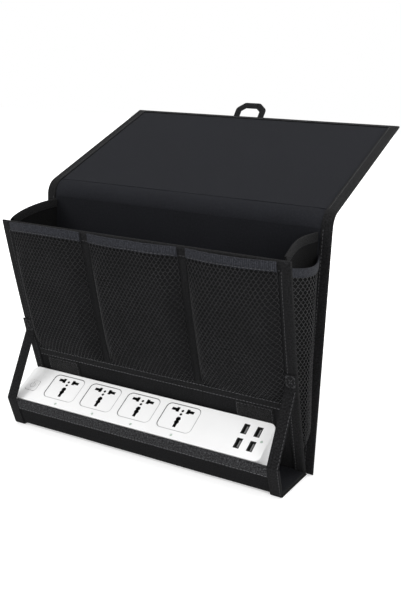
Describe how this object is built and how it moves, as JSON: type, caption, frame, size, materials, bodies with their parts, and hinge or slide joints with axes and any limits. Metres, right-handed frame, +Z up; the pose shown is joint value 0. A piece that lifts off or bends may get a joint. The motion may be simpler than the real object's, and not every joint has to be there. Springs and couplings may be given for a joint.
{
  "type": "bedside caddy",
  "caption": "Dark cloth bedside caddy with a stiff flap that goes under a mattress, a gusseted main pocket, net pockets and a front tray holding a removable mains strip",
  "frame": {"origin": "middle of the back panel's rear face, the face that hangs against the side of the bed", "axes": "X to the viewer's right, Y towards the bed, Z up, in the pose of the picture with the flap tilted 23.3 degrees above level"},
  "size_m": [0.3, 0.2643, 0.3205],
  "materials": {
    "caddy_cloth": "matte woven polyester",
    "lining_cloth": "plain woven lining",
    "stiffener": "pressed fibre board",
    "binding_tape": "ribbed polyester tape",
    "pocket_net": "knitted net",
    "pocket_band": "ribbed elastic band",
    "hook_and_loop": "hook and loop patch",
    "strip_shell": "semi-gloss moulded white",
    "socket_face": "semi-gloss moulded white",
    "usb_shell": "dark plated shell",
    "button_cap": "semi-gloss moulded white",
    "switch_case": "moulded black",
    "light_pipe": "clear green lens posts",
    "circuit": "solder mask",
    "busbar": "stamped strip",
    "gland": "moulded white"
  },
  "bodies": {
    "back": {"back_cover_outer": "caddy_cloth", "back_board": "stiffener", "back_cover_inner": "lining_cloth", "back_binding": "binding_tape", "fold_strip": "caddy_cloth", "gusset_left": "caddy_cloth", "gusset_right": "caddy_cloth", "gusset_tape_left": "binding_tape", "gusset_tape_right": "binding_tape", "side_net_left": "pocket_net", "side_net_right": "pocket_net", "side_band_left": "pocket_band", "side_band_right": "pocket_band"},
    "flap": {"flap_cover_top": "caddy_cloth", "flap_board": "stiffener", "flap_cover_under": "lining_cloth", "flap_binding": "binding_tape", "hanging_loop": "binding_tape"},
    "front": {"front_cover_outer": "caddy_cloth", "front_board": "stiffener", "front_cover_inner": "lining_cloth", "front_binding": "binding_tape", "pocket_net_left": "pocket_net", "pocket_net_middle": "pocket_net", "pocket_net_right": "pocket_net", "pocket_band_left": "pocket_band", "pocket_band_middle": "pocket_band", "pocket_band_right": "pocket_band", "pocket_divider_left": "binding_tape", "pocket_divider_right": "binding_tape", "pocket_seam_tape": "binding_tape", "loop_patch_left": "hook_and_loop", "loop_patch_right": "hook_and_loop", "tray_cover_outer": "caddy_cloth", "tray_cover_inner": "lining_cloth", "tray_base_board": "stiffener", "tray_wall_board": "stiffener", "tray_lip_tape": "binding_tape", "side_strap_left": "binding_tape", "side_strap_right": "binding_tape", "hook_patch_left": "hook_and_loop", "hook_patch_right": "hook_and_loop"},
    "power_strip": {"strip_lid": "strip_shell", "strip_base": "strip_shell", "socket_insert_1": "socket_face", "socket_insert_2": "socket_face", "socket_insert_3": "socket_face", "socket_insert_4": "socket_face", "usb_port_1": "usb_shell", "usb_port_2": "usb_shell", "usb_port_3": "usb_shell", "usb_port_4": "usb_shell", "usb_board": "circuit", "indicator_board": "light_pipe", "switch_body": "switch_case", "live_busbar": "busbar", "earth_busbar": "busbar", "neutral_busbar": "busbar", "cord_gland": "gland"},
    "power_button": {"power_button": "button_cap"}
  },
  "joints": [
    {"name": "flap_fold", "type": "hinge", "parent": "back", "child": "flap", "pos_m": [0, -0.0018, 0.116], "axis": [1, 0, 0], "range_deg": [-82, 171], "deforming": ["fold_strip"]},
    {"name": "front_fold", "type": "hinge", "parent": "back", "child": "front", "pos_m": [0, -0.0044, -0.1125], "axis": [-1, 0, 0], "range_deg": [0, 16], "deforming": ["gusset_left", "gusset_right", "gusset_tape_left", "gusset_tape_right", "side_net_left", "side_net_right", "side_band_left", "side_band_right"]},
    {"name": "strip_slide", "type": "slide", "parent": "front", "child": "power_strip", "axis": [1, 0, 0], "range_m": [0, 0.29]},
    {"name": "button_press", "type": "slide", "parent": "power_strip", "child": "power_button", "axis": [0, 0.5299, -0.848], "range_m": [0, 0.0015], "stiffness_N_per_m": 400}
  ]
}
